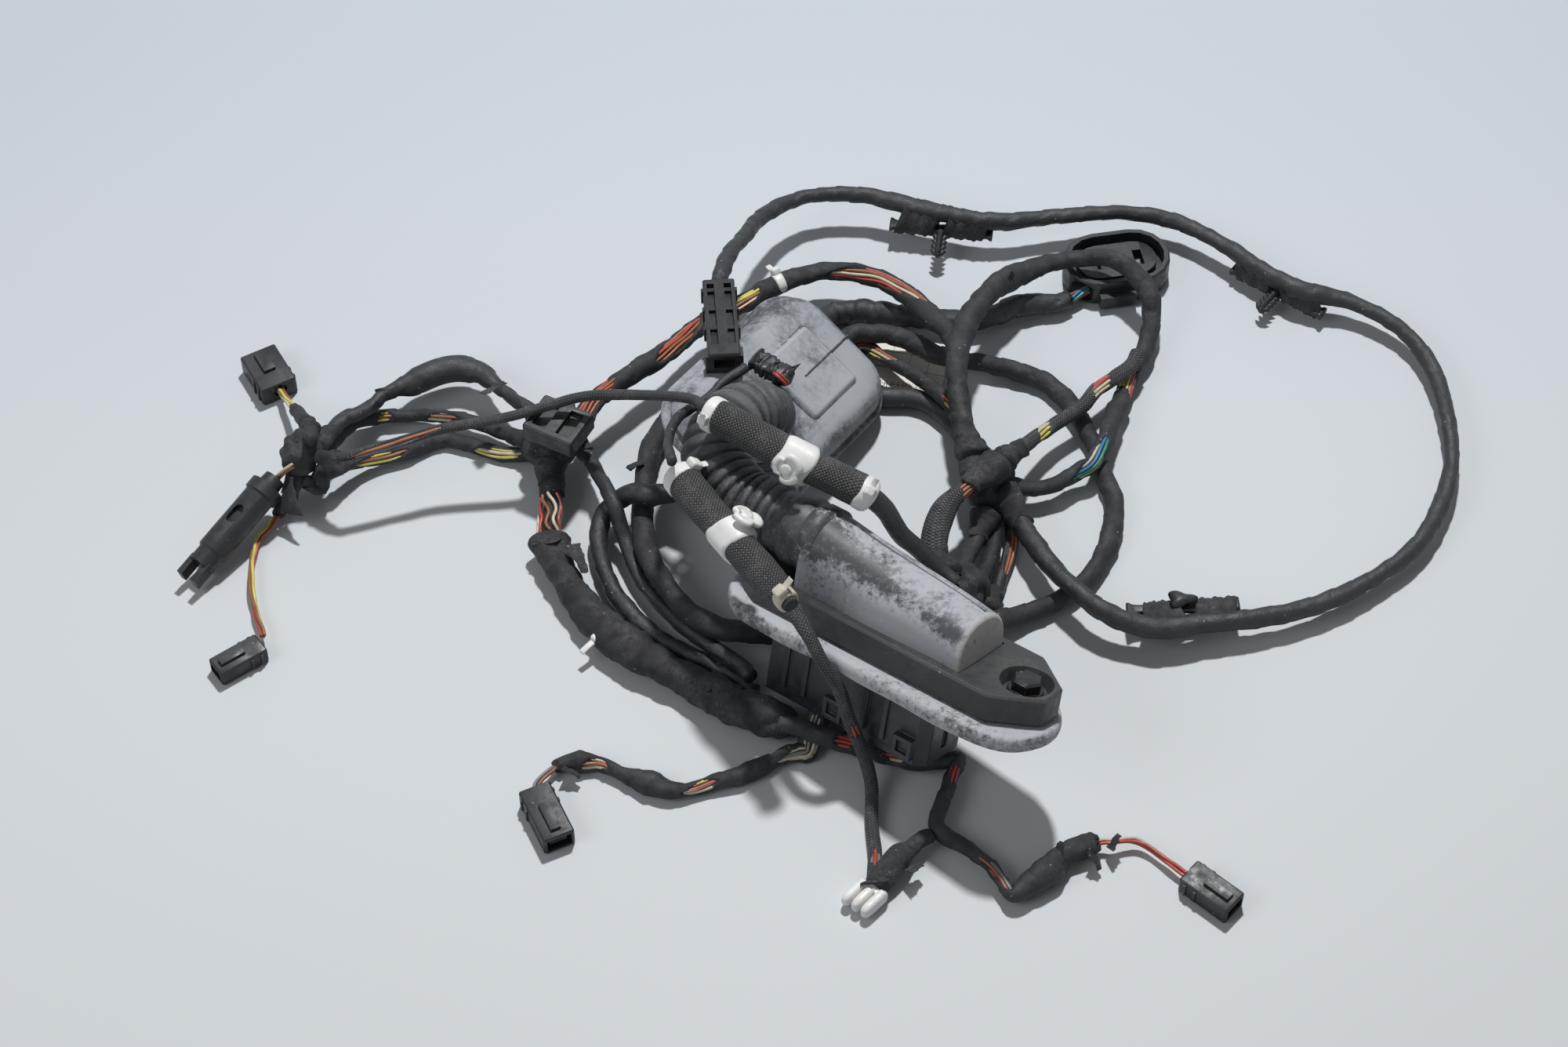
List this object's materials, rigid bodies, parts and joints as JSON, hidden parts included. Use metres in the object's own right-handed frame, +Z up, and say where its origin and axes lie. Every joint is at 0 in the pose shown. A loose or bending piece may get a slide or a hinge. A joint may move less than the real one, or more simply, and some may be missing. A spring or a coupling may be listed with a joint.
{
  "type": "wiring harness",
  "caption": "Front door wiring harness: rubber pillar boot with connector and captive bolt, bellows hose, hollow grommet, and taped branches with plugs and clips.",
  "frame": {"origin": "centre of the rigid core's footprint (boot, block, hose and grommet) at the height of its lowest point, on the table", "axes": "+Z up, +X to the right and +Y to the back of the picture"},
  "size_m": [0.4943, 0.3413, 0.0962],
  "materials": {
    "rubber_weathered": "chalky, weathered",
    "rubber_hose": "matte, dusty",
    "frame_plastic": "satin, scuffed",
    "block_plastic": "satin",
    "bolt_steel": "black coated",
    "cloth_tape": "matte cloth tape",
    "woven_sleeve": "woven, matte",
    "plug_plastic": "satin",
    "white_nylon": "satin",
    "label_paper": "matte"
  },
  "bodies": {
    "harness": {"pillar_boot": "rubber_weathered", "boot_frame": "frame_plastic", "connector_block": "block_plastic", "terminal_insert": "block_plastic", "door_grommet": "rubber_weathered", "bellows_hose": "rubber_hose", "top_strand": "cloth_tape", "right_loop": "cloth_tape", "inner_loop": "cloth_tape", "woven_lead": "woven_sleeve", "yellow_lead": "cloth_tape", "main_left": "cloth_tape", "oblong_lead": "cloth_tape", "smooth_lead": "cloth_tape", "near_lead": "cloth_tape", "cross_lead": "cloth_tape", "thin_lead": "cloth_tape", "trunk": "cloth_tape", "far_lead_one": "cloth_tape", "far_lead_two": "cloth_tape", "far_lead_three": "cloth_tape", "fine_lead": "woven_sleeve", "sleeve_one": "woven_sleeve", "sleeve_two": "woven_sleeve", "plug_lead_woven": "woven_sleeve", "cut_lead": "cloth_tape", "lower_lead": "cloth_tape", "right_lead": "cloth_tape", "fork_lead": "cloth_tape", "down_lead_one": "cloth_tape", "down_lead_two": "cloth_tape", "down_lead_three": "cloth_tape", "square_plug_lead": "cloth_tape", "cylinder_lead": "cloth_tape", "small_plug_lead": "cloth_tape", "lower_knot": "cloth_tape", "grommet_breakout": "cloth_tape", "left_breakout": "cloth_tape", "far_left_breakout": "cloth_tape", "trunk_breakout": "cloth_tape", "rear_breakout": "cloth_tape", "clamp_block": "plug_plastic", "cylinder_connector": "plug_plastic", "tall_connector": "plug_plastic", "oblong_connector": "plug_plastic", "top_left_plug": "plug_plastic", "small_left_plug": "plug_plastic", "lower_plug": "plug_plastic", "right_plug": "plug_plastic", "cut_plug": "plug_plastic", "top_clip": "plug_plastic", "corner_clip": "plug_plastic", "right_clip": "plug_plastic", "white_plug": "white_nylon", "sleeve_one_clip": "white_nylon", "sleeve_two_clip": "white_nylon", "cable_tie": "white_nylon", "paper_label": "label_paper"},
    "bolt": {"captive_bolt": "bolt_steel"}
  },
  "joints": [
    {"name": "bolt_spin", "type": "hinge", "parent": "harness", "child": "bolt", "pos_m": [0.05878, -0.09221, 0.0548], "axis": [0.1276, 0.3563, 0.9256], "continuous": true}
  ]
}
